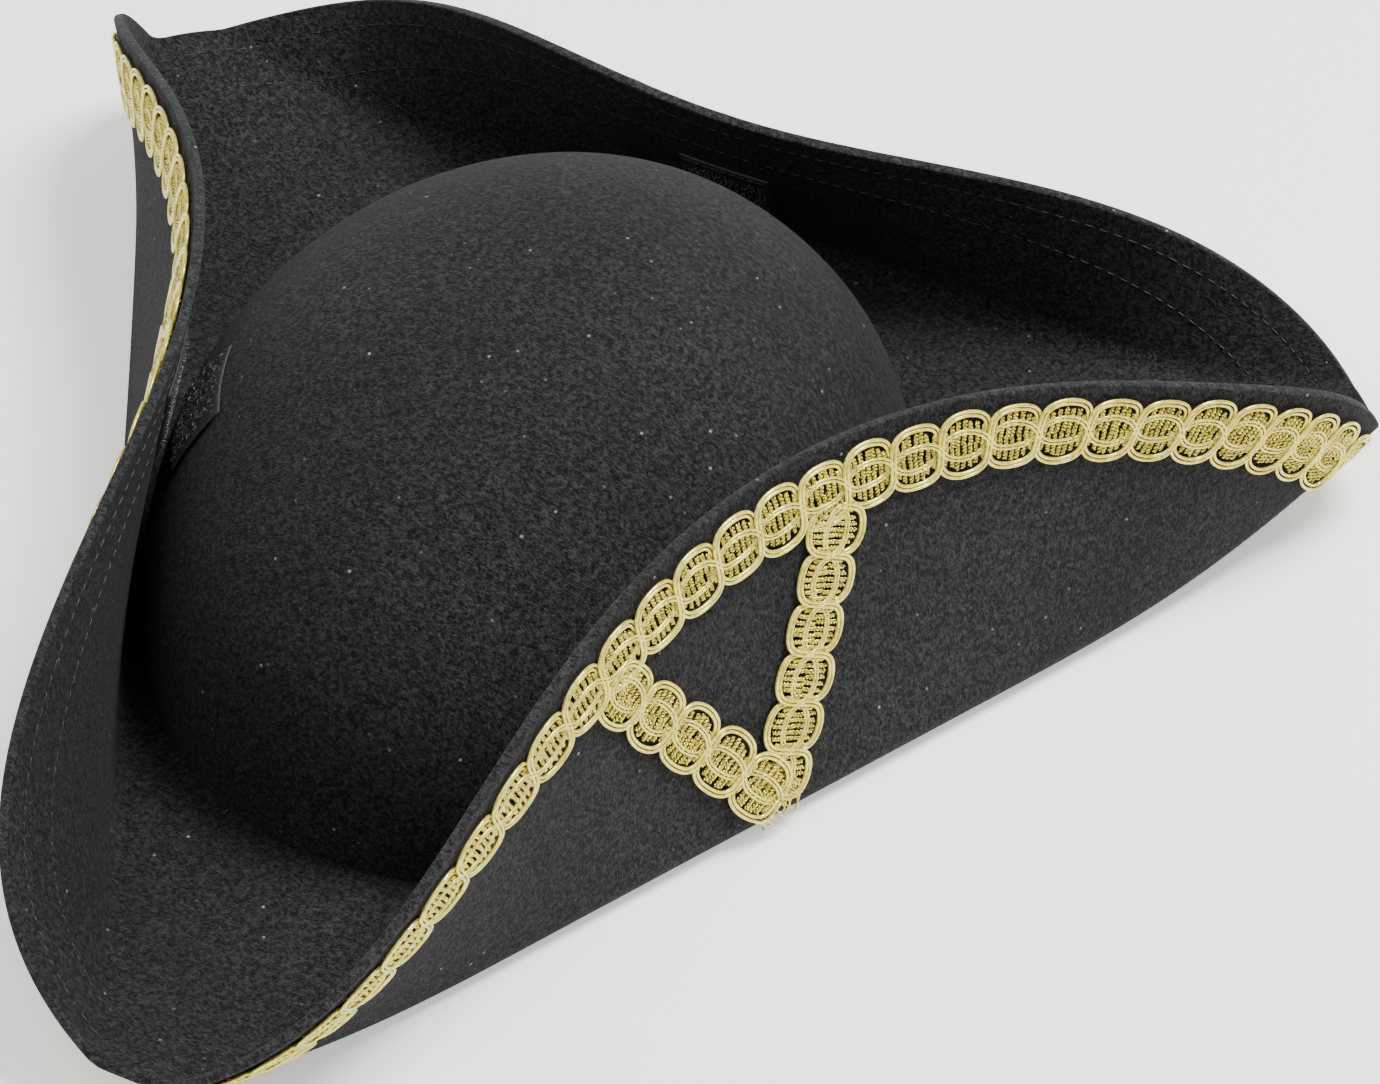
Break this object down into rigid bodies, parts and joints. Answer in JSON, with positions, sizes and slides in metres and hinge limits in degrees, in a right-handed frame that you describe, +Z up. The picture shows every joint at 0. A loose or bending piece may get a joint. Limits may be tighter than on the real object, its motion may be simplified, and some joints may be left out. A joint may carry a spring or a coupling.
{
  "type": "felt tricorn hat",
  "caption": "Black felt tricorn hat with a domed crown, brim sides that fold up and let down along straight folds, hook and loop patches, and gold braid along the edge.",
  "frame": {"origin": "middle of the head opening, in the plane of the flat brim's underside", "axes": "+Z up through the crown, -Y towards the front corner of the brim, +X towards the wearer's left, which is the right as seen from in front and in the node names"},
  "size_m": [0.3436, 0.3317, 0.0935],
  "materials": {
    "black_felt": "matt pressed felt with a short nap",
    "gold_braid": "shiny metallic yarn",
    "hook_and_loop": "black nylon hooks and loops on woven tape",
    "sweatband_cloth": "ribbed grosgrain"
  },
  "bodies": {
    "root": {"crown": "black_felt", "sweatband": "sweatband_cloth", "brim_base": "black_felt", "right_rear_corner_braid": "gold_braid", "left_rear_corner_braid": "gold_braid", "front_corner_braid": "gold_braid", "right_loop_patch": "hook_and_loop", "left_loop_patch": "hook_and_loop", "back_loop_patch": "hook_and_loop"},
    "right_side": {"right_side": "black_felt", "right_edge_braid": "gold_braid", "right_hook_patch": "hook_and_loop", "right_rear_v_braid": "gold_braid", "right_front_v_braid": "gold_braid"},
    "left_side": {"left_side": "black_felt", "left_edge_braid": "gold_braid", "left_hook_patch": "hook_and_loop", "left_rear_v_braid": "gold_braid", "left_front_v_braid": "gold_braid"},
    "back_side": {"back_side": "black_felt", "back_edge_braid": "gold_braid", "back_hook_patch": "hook_and_loop"}
  },
  "joints": [
    {"name": "right_fold", "type": "hinge", "parent": "root", "child": "right_side", "pos_m": [0.08719, -0.04636, 0.00197], "axis": [0.4695, 0.8829, 0], "range_deg": [0, 80]},
    {"name": "left_fold", "type": "hinge", "parent": "root", "child": "left_side", "pos_m": [-0.08719, -0.04636, 0.00197], "axis": [0.4695, -0.8829, 0], "range_deg": [0, 80]},
    {"name": "back_fold", "type": "hinge", "parent": "root", "child": "back_side", "pos_m": [0, 0.13087, 0.00258], "axis": [-1, 0, 0], "range_deg": [-20, 80]}
  ]
}
